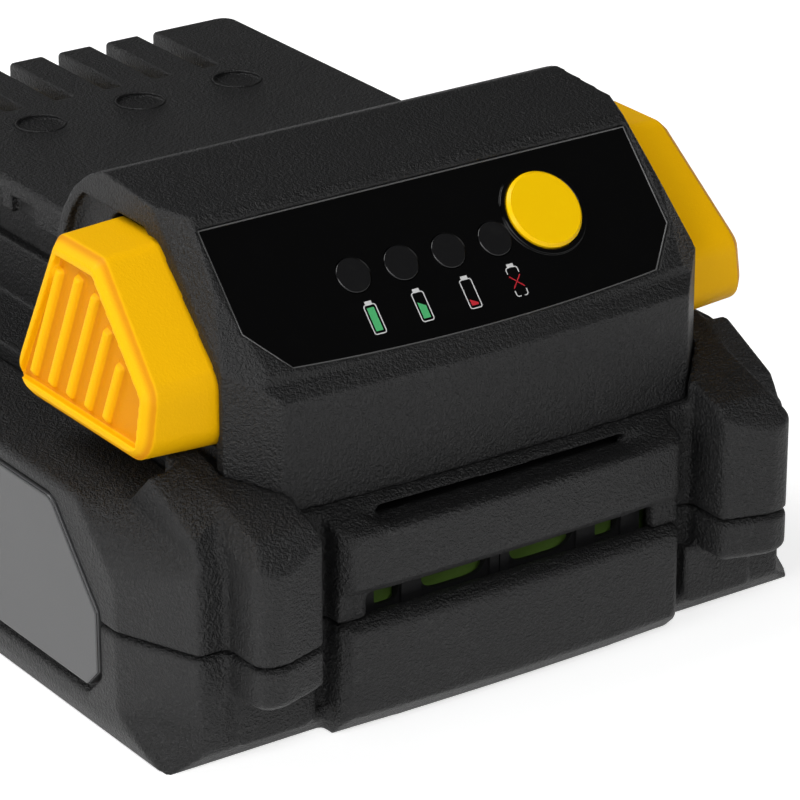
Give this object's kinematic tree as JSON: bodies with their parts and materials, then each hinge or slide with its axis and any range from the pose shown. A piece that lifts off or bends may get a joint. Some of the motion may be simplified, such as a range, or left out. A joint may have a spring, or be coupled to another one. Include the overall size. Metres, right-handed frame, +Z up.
{
  "type": "power tool battery pack",
  "caption": "Slide-on battery pack with a slide rail, a faceted display hood with charge lights, side release buttons and a louvred front.",
  "frame": {"origin": "middle of the resting face under the pack", "axes": "+X to the pack's right seen from its display, +Y towards the rail's open end, +Z up"},
  "size_m": [0.0814, 0.108, 0.0527],
  "materials": {
    "case": "fine spark texture",
    "panel": "satin",
    "yellow": "fine spark texture",
    "gauge": "semi-gloss",
    "overlay": "gloss",
    "lens": "smoked",
    "board": "solder mask",
    "chips": "moulded",
    "lights": "clear",
    "cells": "shrink sleeve",
    "holder": "moulded",
    "nickel": "bright",
    "contacts": "bright",
    "spring": "bright",
    "screw": "black oxide",
    "ribbon": "film",
    "foam": "foam"
  },
  "bodies": {
    "housing": {"board_parts": "chips", "board_screws": "screw", "case_screws": "screw", "cell_1": "cells", "cell_2": "cells", "cell_3": "cells", "cell_4": "cells", "cell_5": "cells", "cell_holder_left": "holder", "cell_holder_right": "holder", "cell_straps_left": "nickel", "cell_straps_right": "nickel", "display_board": "board", "display_leds": "lights", "display_overlay": "overlay", "display_ribbon": "ribbon", "display_screws": "screw", "foam_pad": "foam", "gauge_spring": "spring", "gauge_switch": "chips", "led_lenses": "lens", "lower_shell": "case", "main_board": "board", "power_tab_left": "nickel", "power_tab_right": "nickel", "release_spring_left": "spring", "release_spring_right": "spring", "side_panel_left": "panel", "side_panel_right": "panel", "terminal_block": "holder", "terminal_contacts": "contacts", "top_deck": "case", "upper_shell": "case"},
    "left_button": {"release_button_left": "yellow"},
    "right_button": {"release_button_right": "yellow"},
    "gauge": {"gauge_button": "gauge"}
  },
  "joints": [
    {"name": "left_release_press", "type": "slide", "parent": "housing", "child": "left_button", "axis": [1, 0, 0], "range_m": [0, 0.003], "stiffness_N_per_m": 900, "springref_m": -0.003, "deforming": ["release_spring_left"]},
    {"name": "right_release_press", "type": "slide", "parent": "housing", "child": "right_button", "axis": [-1, 0, 0], "range_m": [0, 0.003], "stiffness_N_per_m": 900, "springref_m": -0.003, "deforming": ["release_spring_right"]},
    {"name": "gauge_press", "type": "slide", "parent": "housing", "child": "gauge", "axis": [0, 0.7286, -0.685], "range_m": [0, 0.0005], "stiffness_N_per_m": 600, "springref_m": -0.001, "deforming": ["gauge_spring"]}
  ]
}
